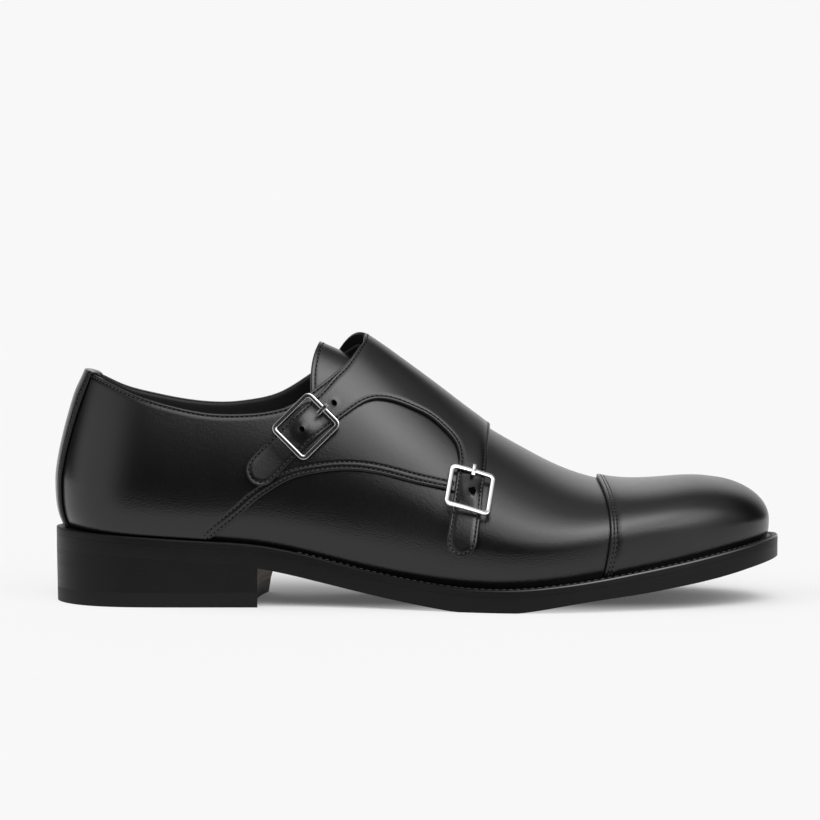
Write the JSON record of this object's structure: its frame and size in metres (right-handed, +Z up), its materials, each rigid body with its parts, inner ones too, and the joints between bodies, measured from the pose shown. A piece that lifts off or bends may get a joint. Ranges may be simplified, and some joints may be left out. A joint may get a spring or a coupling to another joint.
{
  "type": "double monk strap shoe",
  "caption": "Right cap-toe dress shoe with a hollow lasted upper, overlapping buckled straps, tongue, welt, outsole and stacked heel; it stands empty on its sole.",
  "frame": {"origin": "on the floor, in the middle of the shoe's own box in plan", "axes": "+X from heel to toe, +Y to the inner (medial) side of the right foot, +Z up"},
  "size_m": [0.3035, 0.108, 0.1123],
  "materials": {
    "black_calf": "smooth black calf with a soft polish",
    "lining": "matte black lining leather",
    "burnished_sole": "black burnished sole edge",
    "stacked_leather": "stacked leather, black outside and bare brown at the breast",
    "top_piece_rubber": "black rubber",
    "polished_metal": "polished nickel-plated metal"
  },
  "bodies": {
    "root": {"outsole": "burnished_sole", "welt": "burnished_sole", "heel_stack": "stacked_leather", "heel_top_piece": "top_piece_rubber", "insole": "lining", "upper": "black_calf", "toe_cap": "black_calf", "quarter_outer": "black_calf", "quarter_inner_with_straps": "black_calf", "back_strip": "black_calf", "tongue": "black_calf", "buckle_upper": "polished_metal", "buckle_lower": "polished_metal", "prong_upper": "polished_metal", "prong_lower": "polished_metal"}
  },
  "joints": []
}
